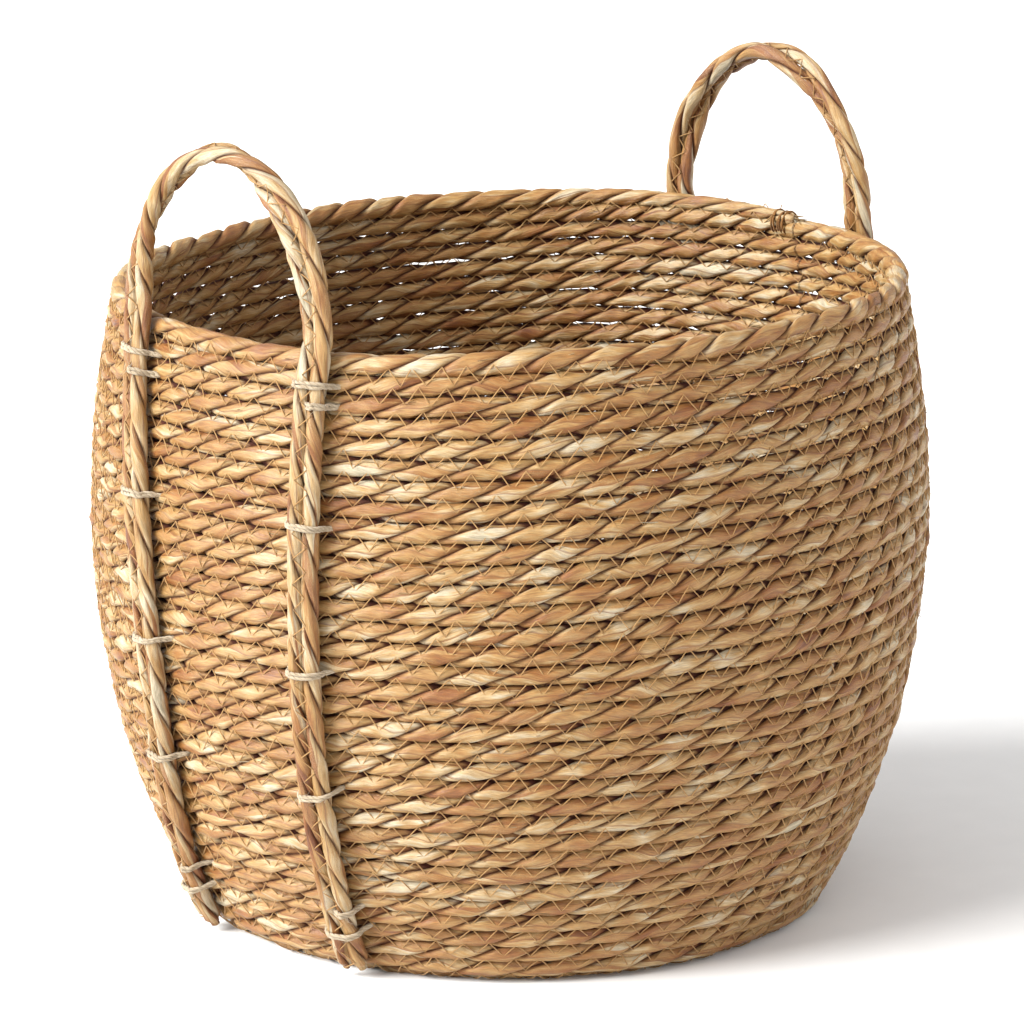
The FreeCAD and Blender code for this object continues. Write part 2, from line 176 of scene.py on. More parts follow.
def tube_object(name, tubes, material):
    """One smooth mesh from closed tubes: each has rings (n, k, 3), along (n,), a seed, and maybe a mask of
    painted shade for the rope's creases.
    """
    points, corners, starts, totals, uv_u, uv_v, seeds, grooves = [], [], [], [], [], [], [], []
    vertex, corner = 0, 0
    for tube in tubes:
        rings = tube["rings"]
        n, k = rings.shape[:2]
        points.append(rings.reshape(-1, 3))
        quads = tube_quads(rings)
        ring_of, spot_of = quads // k, quads % k
        along = tube["along"]
        side = spot_of.astype(float)
        wrap = (spot_of[:, 1] == 0)
        side[wrap, 1] = k
        side[wrap, 2] = k
        corners.append((quads + vertex).ravel())
        starts.append(corner + 4 * np.arange(len(quads)))
        totals.append(np.full(len(quads), 4))
        uv_u.append(along[ring_of].ravel())
        uv_v.append((side / k).ravel())
        corner += 4 * len(quads)
        for ring, order in ((0, slice(None, None, -1)), (n - 1, slice(None))):
            cap = (np.arange(k) + ring * k)[order]
            corners.append(cap + vertex)
            starts.append(np.array([corner]))
            totals.append(np.array([k]))
            uv_u.append(np.full(k, along[ring]))
            uv_v.append((cap % k) / k)
            corner += k
        seeds.append(np.full(n * k, tube.get("seed", 0.0)))
        grooves.append(np.broadcast_to(tube.get("groove", 0.0), (n, k)).ravel())
        vertex += n * k
    mesh = bpy.data.meshes.new(name)
    points = np.concatenate(points).astype(np.float32)
    points[:, 2] = np.maximum(points[:, 2], FLOOR_CLEARANCE)
    corners = np.concatenate(corners).astype(np.int32)
    starts = np.concatenate(starts).astype(np.int32)
    totals = np.concatenate(totals).astype(np.int32)
    mesh.vertices.add(len(points))
    mesh.vertices.foreach_set("co", points.ravel())
    mesh.loops.add(len(corners))
    mesh.loops.foreach_set("vertex_index", corners)
    mesh.polygons.add(len(starts))
    mesh.polygons.foreach_set("loop_start", starts)
    mesh.polygons.foreach_set("loop_total", totals)
    layer = mesh.uv_layers.new(name="rope")
    uv = np.stack([np.concatenate(uv_u), np.concatenate(uv_v)], 1).astype(np.float32)
    layer.data.foreach_set("uv", uv.ravel())
    # The second attribute is a mask of painted shade for the creases between strands and between courses.
    for label, values in (("strand", seeds), ("groove", grooves)):
        attribute = mesh.attributes.new(label, "FLOAT", "POINT")
        attribute.data.foreach_set("value", np.concatenate(values).astype(np.float32))
    mesh.update(calc_edges=True)
    mesh.validate()
    mesh.polygons.foreach_set("use_smooth", np.full(len(mesh.polygons), True))
    mesh.materials.append(material)
    piece = bpy.data.objects.new(name, mesh)
    bpy.context.scene.collection.objects.link(piece)
    return piece


# ------------------------------------------------------------------ two-strand rope
class Lay:
    """How a two-strand rope of a diameter is laid: its strands' place, section and twist."""

    def __init__(self, diameter, length, spots=14):
        self.diameter = diameter
        self.length = length
        self.spots = spots
        self.offset = 0.215 * diameter
        self.thick = 0.285 * diameter
        self.wide = 0.43 * diameter


LEAVES = 3
WALL_LAY = Lay(ROPE * 1.05, 0.046, spots=18)
HANDLE_LAY = Lay(0.0084, 0.047, spots=18)


def strand_rings(lay, path, out, up, phase, size, leaf_turn):
    """Rings of one strand along a path. out and up span the rope's section, and phase turns the strand."""
    turn = np.linspace(0, 2 * math.pi, lay.spots, endpoint=False)[None, :] - leaf_turn[:, None]
    away = np.cos(phase)[:, None] * out + np.sin(phase)[:, None] * up
    aside = -np.sin(phase)[:, None] * out + np.cos(phase)[:, None] * up
    leaf = np.mod(LEAVES * np.arange(lay.spots) / lay.spots, 1.0)[None, :]
    swell = size[:, None] * (0.94 + 0.11 * leaf)
    first = (lay.offset * size)[:, None] + lay.thick * swell * np.cos(turn)
    second = lay.wide * swell * np.sin(turn)
    rings = path[:, None] + first[..., None] * away[:, None] + second[..., None] * aside[:, None]
    # The second value is painted shade for the crease between the two strands: 1 on the side that faces the
    # other strand, 0 on the outer face.
    return rings, ((1.0 - np.cos(turn)) / 2.0) ** 1.2


# ------------------------------------------------------------------ the coil
COIL_START_RADIUS = 0.0045
FOOT_ROUNDING = 0.02


def section_line():
    """The coil's section, from the base's middle up the wall: points, lengths, ways and the foot's length."""
    half = ROPE / 2
    rises = np.linspace(math.asin((half - BELLY_HEIGHT) / (LOWER_ARC - half)), 0, 400)
    lower = np.stack([BELLY_RADIUS - LOWER_ARC + (LOWER_ARC - half) * np.cos(rises),
                      BELLY_HEIGHT + (LOWER_ARC - half) * np.sin(rises)], 1)
    rises = np.linspace(0, math.asin((RIM_HEIGHT - BELLY_HEIGHT) / (UPPER_ARC - half)), 240)[1:]
    upper = np.stack([BELLY_RADIUS - UPPER_ARC + (UPPER_ARC - half) * np.cos(rises),
                      BELLY_HEIGHT + (UPPER_ARC - half) * np.sin(rises)], 1)
    wall = np.concatenate([lower, upper])
    flat_radius = np.linspace(COIL_START_RADIUS, lower[0, 0], 300, endpoint=False)
    flat = np.stack([flat_radius, np.full(300, half)], 1)
    line, = spread(np.concatenate([flat, wall]), 0.0005)
    soft = line.copy()
    width = 10
    for shift in range(-width, width + 1):
        soft += np.roll(line, shift, axis=0)
    soft /= 2 * width + 2
    near = np.abs(line[:, 0] - lower[0, 0]) + np.abs(line[:, 1] - half) < FOOT_ROUNDING
    line[near] = soft[near]
    gaps = np.linalg.norm(np.diff(line, axis=0), axis=1)
    length = np.concatenate([[0.0], np.cumsum(gaps)])
    way = unit(np.gradient(line, axis=0))
    foot = length[np.argmin(np.abs(line - lower[0]).sum(1))]
    return line, length, way, foot


LINE, LINE_LENGTH, LINE_WAY, FOOT_LENGTH = section_line()
WALL_COURSES = 33
PITCH = (LINE_LENGTH[-1] - FOOT_LENGTH) / WALL_COURSES
TURNS = LINE_LENGTH[-1] / PITCH
FOOT_TURN = FOOT_LENGTH / PITCH
COIL_END = math.radians(-6.0)
TILT = 0.0068
TILT_WAY = math.radians(293.7)
STEP = 0.0017
TAPER_TURNS = 0.20
END_SIZE = 0.62


OUT_WAVES = ((2, 1.3, 0, 0.0012), (5, 0, 9, 0.0007))
UP_WAVES = ((3, 0.7, 0, 0.0009), (7, 0, 5, 0.0006))


def waves(table, angle, share):
    """Sum of waves round the wall: waves to a turn, start, slant over the height, and size in metres."""
    return sum(size * np.sin(count * angle + start + slant * share) for count, start, slant, size in table)


def wall_drift(angle, height):
    """How far the hand-made wall wanders outwards and up from its true shape, at an angle and a height."""
    share = np.clip(height / RIM_HEIGHT, 0, 1.05)
    out = share * waves(OUT_WAVES, angle, share)
    up = TILT * share ** 2 * np.cos(angle - TILT_WAY)
    return out, up + share * waves(UP_WAVES, angle, share)


SWELL_TURNS = (TURNS - 11, TURNS - 9, TURNS - 5, TURNS - 1.5, TURNS - 0.9)
SWELL = (1.0, 0.97, 0.94, 0.92, 1.05)
END_DROP = 0.0030


def coil_taper(turn):
    """The rope's size at a turn count, as a share: it thins over the last part of its last turn."""
    share = np.clip((turn - (TURNS - TAPER_TURNS)) / TAPER_TURNS, 0, 1)
    return 1.0 - (1.0 - END_SIZE) * share ** 1.2


def coil_sink(turn):
    """How far the last part of the coil sinks towards the course below it."""
    share = np.clip((turn - (TURNS - TAPER_TURNS)) / TAPER_TURNS, 0, 1)
    return (1.0 - coil_taper(turn)) * ROPE / 2 + END_DROP * share ** 3


def coil_place(turn, across=0.0):
    """The coil's centre line at a turn count, moved across up the wall: place, outward and upward ways."""
    distance = np.clip(turn * PITCH + across, 0, LINE_LENGTH[-1])
    radius = np.interp(distance, LINE_LENGTH, LINE[:, 0])
    height = np.interp(distance, LINE_LENGTH, LINE[:, 1])
    way_r = np.interp(distance, LINE_LENGTH, LINE_WAY[:, 0])
    way_z = np.interp(distance, LINE_LENGTH, LINE_WAY[:, 1])
    angle = COIL_END + 2 * math.pi * (TURNS - turn)
    drift_out, drift_up = wall_drift(angle, height)
    radius = radius + drift_out
    height = height + drift_up - coil_sink(turn)
    cosine, sine = np.cos(angle), np.sin(angle)
    place = np.stack([radius * cosine, radius * sine, height], -1)
    out = np.stack([way_z * cosine, way_z * sine, -way_r], -1)
    up = np.stack([way_r * cosine, way_r * sine, way_z], -1)
    return place, out, up


def coil_turns():
    """Turn counts evenly spaced along the rope, and the rope length at each."""
    fine = np.linspace(0.0, TURNS, 60000)
    place, _, _ = coil_place(fine)
    length = np.concatenate([[0.0], np.cumsum(np.linalg.norm(np.diff(place, axis=0), axis=1))])
    even = np.arange(0.0, length[-1], STEP)
    return np.interp(even, length, fine), even


SPARE = 0.07
SPARSE_WAY = math.radians(97.0)
SPARSE_WIDTH = math.radians(26.0)
SPARSE_TURNS = (TURNS - 6, TURNS - 4, TURNS - 1.2, TURNS - 0.9)


def sparse(turn):
    """How thin the rope is at a turn count, 0 to 1: the upper wall lets light through on one side."""
    angle = COIL_END + 2 * math.pi * (TURNS - turn) - SPARSE_WAY
    away = np.angle(np.exp(1j * angle)) / SPARSE_WIDTH
    return np.exp(-away ** 2) * np.interp(turn, SPARSE_TURNS, (0, 1, 1, 0))


COIL_TURN, COIL_LENGTH = coil_turns()
COIL_RNG = seeded(11)
COIL_TWIST = 1.0 + 0.22 * wander(COIL_LENGTH, 0.05, COIL_RNG) + 0.16 * wander(COIL_LENGTH, 0.3, COIL_RNG)
COIL_PHASE = -2 * math.pi / WALL_LAY.length * STEP * np.cumsum(COIL_TWIST)
COIL_PHASE = COIL_PHASE + 0.5 * wander(COIL_LENGTH, 0.03, COIL_RNG)
COIL_SIZES = [1.0 + 0.11 * wander(COIL_LENGTH, 0.017, COIL_RNG) + 0.035 * wander(COIL_LENGTH, 0.09, COIL_RNG)
              for _ in range(2)]
COIL_SIZES = [size * np.interp(COIL_TURN, SWELL_TURNS, SWELL) * (1.0 - SPARE * sparse(COIL_TURN))
              for size in COIL_SIZES]
COIL_LEAF = [-185.0 * COIL_LENGTH + 2.5 * wander(COIL_LENGTH, 0.05, COIL_RNG) for _ in range(2)]
COIL_SHIFT = [0.00055 * wander(COIL_LENGTH, 0.035, COIL_RNG) for _ in range(2)]


# Painted shade in the crease where one course touches the next: the rope is darkened near its top and bottom
# sides, except on the last turn.
CREASE_SHADE = 1.15
CREASE_WIDTH = 0.75


def coil_piece(name, first_turn, last_turn, material):
    """The coil's rope between two turn counts, as one object of two strands."""
    low = max(np.searchsorted(COIL_TURN, first_turn) - 1, 0)
    high = min(np.searchsorted(COIL_TURN, last_turn) + 1, len(COIL_TURN))
    part = slice(low, high)
    turn = COIL_TURN[part]
    place, out, up = coil_place(turn)
    place = place + COIL_SHIFT[0][part, None] * out + 0.6 * COIL_SHIFT[1][part, None] * up
    ending = coil_taper(turn) * np.clip((COIL_LENGTH[-1] - COIL_LENGTH[part]) / 0.003, 0.75, 1.0)
    tubes = []
    for strand in range(2):
        size = COIL_SIZES[strand][part] * ending
        rings, groove = strand_rings(WALL_LAY, place, out, up, COIL_PHASE[part] + math.pi * strand, size,
                                     COIL_LEAF[strand][part])
        # Painted shade: darker where the rope meets the course above and the course below it.
        depth = np.abs(((rings - place[:, None]) * out[:, None]).sum(-1)) / (ROPE / 2)
        course_crease_shade = np.clip(CREASE_SHADE - depth / CREASE_WIDTH, 0, 1) * (turn < TURNS - 1.0)[:, None]
        groove = np.maximum(groove, course_crease_shade)
        tubes.append({"rings": rings, "along": COIL_LENGTH[part], "seed": 3.0 + strand * 17.0,
                      "groove": groove})
    return tube_object(name, tubes, material)


def surface_height(lay, phase, sizes, across):
    """How far a two-strand rope's surface stands out of its centre line, across from that line."""
    height = np.full(np.shape(phase), -1.0)
    for strand, size in enumerate(sizes):
        angle = phase + math.pi * strand
        cosine, sine = np.cos(angle), np.sin(angle)
        thick, wide = lay.thick * size, lay.wide * size
        y = across - lay.offset * size * sine
        a = cosine ** 2 / thick ** 2 + sine ** 2 / wide ** 2
        b = 2 * y * sine * cosine * (1 / thick ** 2 - 1 / wide ** 2)
        c = y ** 2 * (sine ** 2 / thick ** 2 + cosine ** 2 / wide ** 2) - 1
        root = b ** 2 - 4 * a * c
        x = (-b + np.sqrt(np.maximum(root, 0))) / (2 * a)
        height = np.maximum(height, np.where(root > 0, x + lay.offset * size * cosine, -1.0))
    return height


# ------------------------------------------------------------------ materials
FIBRE_BRIGHTNESS = 0.50


def colour(red, green, blue):
    """A plant fibre's linear colour, from how bright it looks in full light on a scale of 0 to 255."""
    linear = [((value / 255 + 0.055) / 1.055) ** 2.4 for value in (red, green, blue)]
    return (*(FIBRE_BRIGHTNESS * value for value in linear), 1.0)


class Shader:
    """A node material under construction."""

    def __init__(self, name):
        self.material = bpy.data.materials.new(name)
        self.material.use_nodes = True
        self.tree = self.material.node_tree
        self.surface = self.tree.nodes["Principled BSDF"]

    def node(self, kind, *values, **settings):
        """Adds a node, sets its settings and its inputs in order, and returns it. None leaves an input."""
        node = self.tree.nodes.new(kind)
        for label, value in settings.items():
            setattr(node, label, value)
        for socket, value in zip(node.inputs, values):
            self.put(socket, value)
        return node

    def put(self, socket, value):
        """Links an output or sets a plain value on a socket."""
        if isinstance(value, bpy.types.NodeSocket):
            self.tree.links.new(value, socket)
        elif value is not None:
            socket.default_value = value

    def math(self, operation, *values):
        return self.node("ShaderNodeMath", *values, operation=operation).outputs[0]

    def vector(self, x, y, z=0.0):
        return self.node("ShaderNodeCombineXYZ", x, y, z).outputs[0]

    def noise(self, place, scale, detail=2.0, roughness=0.5):
        return self.node("ShaderNodeTexNoise", place, None, scale, detail, roughness).outputs[0]

    def chance(self, place):
        return self.node("ShaderNodeTexWhiteNoise", place, noise_dimensions="3D").outputs[0]

    def attribute(self, name):
        return self.node("ShaderNodeAttribute", attribute_name=name).outputs["Fac"]

    def mix(self, share, first, second, blend="MIX"):
        node = self.node("ShaderNodeMix", data_type="RGBA", blend_type=blend)
        for index, value in ((0, share), (6, first), (7, second)):
            self.put(node.inputs[index], value)
        return node.outputs[2]

    def ramp(self, value, stops):
        """A colour ramp with stops of (place, colour)."""
        node = self.node("ShaderNodeValToRGB", value)
        elements = node.color_ramp.elements
        while len(elements) < len(stops):
            elements.new(0.5)
        for element, (place, shade) in zip(elements, stops):
            element.position = place
            element.color = shade
        return node.outputs[0]

    def level(self, value, low, high, to_low, to_high):
        """A value carried from one range to another and held inside it."""
        return self.node("ShaderNodeMapRange", value, low, high, to_low, to_high).outputs[0]

    def bump(self, height, distance, strength, normal=None):
        node = self.node("ShaderNodeBump")
        self.put(node.inputs["Strength"], strength)
        self.put(node.inputs["Distance"], distance)
        self.put(node.inputs["Height"], height)
        self.put(node.inputs["Normal"], normal)
        return node.outputs[0]


# Painted shade colour for the creases between strands and between courses.
GROOVE_SHADE_COLOUR = colour(98, 32, 0)
STRAW = colour(253, 232, 196)
CREAM = colour(242, 206, 152)
HONEY = colour(224, 174, 104)
TAN = colour(207, 149, 82)
AMBER = colour(192, 128, 60)
GREY_GREEN = colour(204, 188, 154)
RUSSET = colour(178, 108, 48)
BROWN = colour(142, 76, 28)


def seagrass(name, stops, leaf_length, variety=0.26):
    """Dried leaves twisted into a strand: each leaf its own tone, fine fibres along it, darker edges, and
    painted shade in the creases between strands and between courses.
    """
    shader = Shader(name)
    place = shader.node("ShaderNodeUVMap", uv_map="rope").outputs[0]
    split = shader.node("ShaderNodeSeparateXYZ", place)
    along, around = split.outputs[0], split.outputs[1]
    strand = shader.attribute("strand")
    slow = shader.noise(shader.vector(shader.math("MULTIPLY", along, 30.0), around, strand), 1.0, 2.0)
    wobble = shader.math("MULTIPLY", shader.math("SUBTRACT", slow, 0.5), 0.9)
    count = shader.math("ADD", shader.math("MULTIPLY", around, float(LEAVES)), wobble)
    leaf = shader.math("FLOOR", count)
    edge = shader.math("FRACT", count)
    start = shader.math("ADD", shader.chance(shader.vector(leaf, strand, 0.0)), edge)
    block = shader.math("FLOOR", shader.math("ADD", shader.math("DIVIDE", along, leaf_length), start))
    tone = shader.chance(shader.vector(leaf, block, strand))
    stretch = shader.math("MULTIPLY", along, 90.0)
    broad = shader.noise(shader.vector(stretch, shader.math("MULTIPLY", around, 11.0), strand), 1.0, 3.0)
    fine = shader.noise(shader.vector(shader.math("MULTIPLY", along, 200.0),
                                      shader.math("MULTIPLY", around, 80.0), strand), 1.0, 2.0)
    lobes = shader.noise(shader.vector(shader.math("MULTIPLY", along, 42.0), strand, 0.0), 1.0, 1.0)
    patches = shader.noise(shader.vector(shader.math("MULTIPLY", along, 5.0), strand, 0.0), 1.0, 2.0)
    leaf_tone = shader.math("MULTIPLY", shader.math("SUBTRACT", tone, 0.5), variety)
    value = shader.math("ADD", shader.math("ADD", leaf_tone, 0.13), shader.math("MULTIPLY", broad, 0.42))
    value = shader.math("ADD", value, shader.math("MULTIPLY", lobes, 0.54))
    value = shader.math("ADD", value, shader.math("MULTIPLY", shader.math("SUBTRACT", patches, 0.68), 0.45))
    base = shader.ramp(value, stops)
    streak = shader.level(fine, 0.30, 0.72, 0.66, 1.20)
    base = shader.mix(1.0, base, shader.vector(streak, streak, streak), "MULTIPLY")
    rim = shader.level(edge, 0.0, 0.14, 0.75, 0.0)
    base = shader.mix(rim, base, BROWN)
    # Painted shade: the creases between strands and between courses are mixed towards a dark brown.
    groove = shader.level(shader.attribute("groove"), 0.60, 0.88, 0.0, 0.97)
    base = shader.mix(groove, base, GROOVE_SHADE_COLOUR)
    shader.put(shader.surface.inputs["Base Color"], base)
    matt = shader.level(shader.attribute("groove"), 0.40, 0.85, 0.0, 0.45)
    gloss = shader.math("ADD", shader.level(broad, 0.3, 0.7, 0.38, 0.58), matt)
    shader.put(shader.surface.inputs["Roughness"], shader.math("MINIMUM", gloss, 1.0))
    shader.surface.inputs["Specular IOR Level"].default_value = 0.55
    fibre = shader.bump(fine, 0.0005, 0.8)
    fold = shader.bump(broad, 0.0011, 0.6, fibre)
    shader.put(shader.surface.inputs["Normal"], fold)
    return shader.material


def twisted_fibre(name, pale, dark, scale, sheen):
    """Thin spun thread: two tones of fibre winding round it."""
    shader = Shader(name)
    place = shader.node("ShaderNodeUVMap", uv_map="rope").outputs[0]
    split = shader.node("ShaderNodeSeparateXYZ", place)
    turn = shader.math("ADD", shader.math("MULTIPLY", split.outputs[0], scale), split.outputs[1])
    strand = shader.attribute("strand")
    fibre = shader.noise(shader.vector(shader.math("MULTIPLY", turn, 6.0),
                                       shader.math("MULTIPLY", split.outputs[0], 150.0), strand), 1.0, 3.0)
    length = shader.math("MULTIPLY", split.outputs[0], 25.0)
    patch = shader.noise(shader.vector(length, strand, 0.0), 1.0, 1.0)
    blend = shader.math("ADD", shader.math("MULTIPLY", fibre, 0.7), shader.math("MULTIPLY", patch, 0.4))
    shader.put(shader.surface.inputs["Base Color"], shader.ramp(blend, ((0.32, dark), (0.68, pale))))
    shader.surface.inputs["Roughness"].default_value = 0.8
    shader.surface.inputs["Sheen Weight"].default_value = sheen
    shader.surface.inputs["Specular IOR Level"].default_value = 0.3
    shader.put(shader.surface.inputs["Normal"], shader.bump(fibre, 0.0002, 0.5))
    return shader.material


WALL_ROPE = seagrass("seagrass_rope", (
    (0.22, BROWN), (0.32, RUSSET), (0.40, AMBER), (0.48, TAN), (0.57, HONEY), (0.66, CREAM),
    (0.74, STRAW), (0.82, GREY_GREEN), (0.90, STRAW)), 0.045)
HANDLE_ROPE_LOOK = seagrass("handle_rope", (
    (0.20, BROWN), (0.30, RUSSET), (0.38, AMBER), (0.47, TAN), (0.57, HONEY), (0.68, CREAM),
    (0.78, STRAW), (0.86, GREY_GREEN), (0.94, STRAW)), 0.045, variety=0.50)
DARK_THREAD_LOOK = twisted_fibre("dark_thread", colour(186, 128, 62), colour(112, 68, 26), 400.0, 0.1)
THREAD_LOOK = twisted_fibre("sewing_thread", colour(224, 176, 112), colour(178, 124, 68), 400.0, 0.1)
TWINE_LOOK = twisted_fibre("jute_twine", colour(240, 218, 186), colour(188, 158, 120), 150.0, 0.3)


# ------------------------------------------------------------------ the body
def ride_basket(piece, slot, *nodes):
    """The piece moves with the basket and the given parts are hidden. The slot is not used."""
    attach(piece, "basket")
    if nodes:
        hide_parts(*nodes)


BASE_PIECES = 3
for index in range(BASE_PIECES):
    first, last = FOOT_TURN * index / BASE_PIECES, FOOT_TURN * (index + 1) / BASE_PIECES
    piece = coil_piece(f"base_coil_{index + 1}", first, last, WALL_ROPE)
    ride_basket(piece, "seagrass_rope", "base_coil")
for index in range(WALL_COURSES):
    rim = index == WALL_COURSES - 1
    piece = coil_piece("rim_course" if rim else f"wall_course_{index + 1:02d}", FOOT_TURN + index,
                       FOOT_TURN + index + 1, WALL_ROPE)
    ride_basket(piece, "seagrass_rope", "rim_course" if rim else "wall_coil")


def base_centre(rng):
    """The rope's first end, turned up to close the middle of the base."""
    height = np.linspace(0.0004, 0.92 * ROPE, 12)
    lean = 0.06 * height
    path = np.stack([lean, -lean, height], 1)
    out = np.broadcast_to(np.array([1.0, 0.0, 0.0]), path.shape)
    up = np.broadcast_to(np.array([0.0, 1.0, 0.0]), path.shape)
    size = 0.95 * np.sqrt(np.clip((height[-1] + 0.0006 - height) / 0.0030, 0.15, 1.0))
    tubes = []
    for strand in range(2):
        phase = 2 * math.pi * height / WALL_LAY.length + math.pi * strand
        rings, groove = strand_rings(WALL_LAY, path, out, up, phase, size, height * 0)
        # Half-strength painted shade in the crease between the two strands.
        tubes.append({"rings": rings, "along": height, "seed": rng.uniform(0, 90), "groove": 0.5 * groove})
    ride_basket(tube_object("base_centre", tubes, WALL_ROPE), "seagrass_rope")


base_centre(seeded(67))


# ------------------------------------------------------------------ sewing thread
STITCH = 0.0062
THREAD = 0.00030
THREAD_SPOTS = 5
CORNER_SINK = 0.0007
THREAD_SINK = 0.0001


def tube_rings(points, radius, spots):
    """Rings of a plain round tube along points."""
    tangent = unit(np.gradient(points, axis=0))
    guide = np.where(np.abs(tangent[:, 2:3]) > 0.9, np.array([[1.0, 0.0, 0.0]]), np.array([[0.0, 0.0, 1.0]]))
    first = unit(np.cross(tangent, guide))
    second = np.cross(tangent, first)
    turn = np.linspace(0, 2 * math.pi, spots, endpoint=False)
    radius = np.broadcast_to(radius, len(points))[:, None, None]
    return points[:, None] + radius * (np.cos(turn)[None, :, None] * first[:, None]
                                       + np.sin(turn)[None, :, None] * second[:, None])


def pull_taut(heights, sag=0.00004, rounds=24):
    """The heights of a thread pulled tight over bumps: it bridges hollows and rests on crests."""
    floor = heights
    for _ in range(rounds):
        between = (np.roll(heights, 1) + np.roll(heights, -1)) / 2 - sag
        heights = np.maximum(floor, between)
    return heights


def seam_thread(name, first_turn, last_turn, outside, rng):
    """Zig-zag thread that sews each turn of rope to the next one, on the outside or the inside."""
    start = np.interp(first_turn, COIL_TURN, COIL_LENGTH)
    end = np.interp(last_turn, COIL_TURN, COIL_LENGTH)
    count = int((end - start) / STITCH)
    corners = np.linspace(start, end, count + 1) + rng.normal(0, 0.00045, count + 1)
    reach = 0.40 if outside else 0.28
    middle = 0.5 + rng.normal(0, 0.035, count + 1)
    share = middle + np.where(np.arange(count + 1) % 2, reach, -reach) * (1 + rng.normal(0, 0.12, count + 1))
    steps = 5
    spot = np.arange(count * steps + 1) / steps
    length = np.interp(spot, np.arange(count + 1), corners)
    share = np.interp(spot, np.arange(count + 1), share)
    turn = np.interp(length, COIL_LENGTH, COIL_TURN)
    upper = np.minimum(turn + 1, TURNS)
    heights = np.maximum(rope_surface(turn, share * PITCH, outside),
                         rope_surface(upper, (share - 1) * PITCH, outside))
    heights = np.maximum(heights, 0.0010)
    at_corner = np.abs(spot - np.round(spot)) < 0.01
    heights = pull_taut(np.where(at_corner, heights - CORNER_SINK, heights - THREAD_SINK))
    place, out, _ = coil_place(turn, share * PITCH)
    sign = 1.0 if outside else -1.0
    points = place + sign * (heights + 0.5 * THREAD)[:, None] * out
    return tube_object(name, [{"rings": tube_rings(points, THREAD, THREAD_SPOTS), "along": length,
                               "seed": first_turn}], THREAD_LOOK)


def rope_surface(turn, across, outside):
    """How far the coil's rope stands out of its centre line, at a turn and across from its middle."""
    phase = np.interp(turn, COIL_TURN, COIL_PHASE)
    sizes = [np.interp(turn, COIL_TURN, size) for size in COIL_SIZES]
    return surface_height(WALL_LAY, phase if outside else math.pi - phase, sizes, across)


THREAD_RNG = seeded(23)
THREAD_GROUP = 5
BASE_SEAM_START = 1.0
LAST_SEAM = TURNS - 1.012
for side_name in ("outside", "inside"):
    outside = side_name == "outside"
    seam = BASE_SEAM_START
    number = 1
    while seam < LAST_SEAM:
        end = min(seam + THREAD_GROUP, LAST_SEAM)
        piece = seam_thread(f"stitching_{side_name}_{number}", seam, end, outside, THREAD_RNG)
        ride_basket(piece, "sewing_thread", "body_stitching")
        seam = end
        number += 1


# ------------------------------------------------------------------ the end of the coil
WRAPS = 6
WRAP_THREAD = 0.00055
END_LEAVES = 16


def coil_end_wraps(rng):
    """Dark thread wound round the coil's end and the course below it."""
    tubes = []
    turn = np.linspace(0, 2 * math.pi, 40)
    for wrap in range(WRAPS):
        at = TURNS - 0.0045 - 0.0014 * wrap + rng.normal(0, 0.0003)
        place, out, up = (values[0] for values in coil_place(np.array([at])))
        below, _, _ = (values[0] for values in coil_place(np.array([at - 1.0])))
        travel = np.cross(out, up)
        half_up = np.linalg.norm(place - below) / 2 + 0.30 * ROPE + rng.normal(0, 0.0003)
        half_out = 0.54 * ROPE + rng.normal(0, 0.0002)
        lean = rng.normal(0, 0.0009)
        points = ((place + below) / 2 + np.cos(turn)[:, None] * half_out * out
                  + np.sin(turn)[:, None] * (half_up * up + lean * travel))
        tubes.append({"rings": tube_rings(points, WRAP_THREAD, THREAD_SPOTS), "along": turn * 0.006,
                      "seed": rng.uniform(0, 90)})
    ride_basket(tube_object("coil_end_wraps", tubes, DARK_THREAD_LOOK), "sewing_thread")


def coil_end_leaves(rng):
    """Loose leaf ends that stick out past the coil's end."""
    tubes = []
    place, out, up = (values[0] for values in coil_place(np.array([TURNS])))
    travel = np.cross(up, out)
    if travel @ (place - coil_place(np.array([TURNS - 0.01]))[0][0]) < 0:
        travel = -travel
    for _ in range(END_LEAVES):
        root = place + rng.uniform(-0.002, 0.002) * out + rng.uniform(-0.002, 0.002) * up - 0.003 * travel
        way = unit(travel + rng.normal(0, 0.25) * out + rng.normal(-0.1, 0.25) * up)
        share = np.linspace(0, 1, 7)[:, None]
        droop = rng.normal(0, 0.0012) * out + rng.normal(-0.0008, 0.0008) * up
        points = root + share * rng.uniform(0.006, 0.011) * way + share ** 2 * droop
        tubes.append(ribbon(points, out, rng.uniform(0.0005, 0.0011), rng, np.linspace(0, 0.01, 7)))
    ride_basket(tube_object("coil_end_leaves", tubes, WALL_ROPE), "seagrass_rope")


# ------------------------------------------------------------------ handles
SIDES = {"left": -1, "right": 1}
FRONT, BACK = -1, 1
HALF_BAND = 0.0039
HANDLE_ROPE = 0.0084
LEG_GAP = 0.0012
LOOP_HALF_WIDTH = 0.062
LOOP_RISE = 0.0805
POINTED = 1.08
LOOP_TWIST = math.radians(50)
FRONT_ANGLE = math.radians(17.5)
BACK_TOP_ANGLE = math.radians(18.2)
BACK_FOOT_ANGLE = math.radians(19.0)
BACK_BOW = math.radians(8.5)
LEG_SHARES = (0.016, 0.08, 0.17, 0.30, 0.44, 0.58, 0.72, 0.85, 0.95)
LOOP_STEPS = 14


def leg_angle(leg, share):
    """The leg's angle round the wall from the nearest end of the X axis, at a share of the rim height."""
    if leg == FRONT:
        return FRONT_ANGLE
    return BACK_FOOT_ANGLE + (BACK_TOP_ANGLE - BACK_FOOT_ANGLE) * share - BACK_BOW * math.sin(math.pi * share)


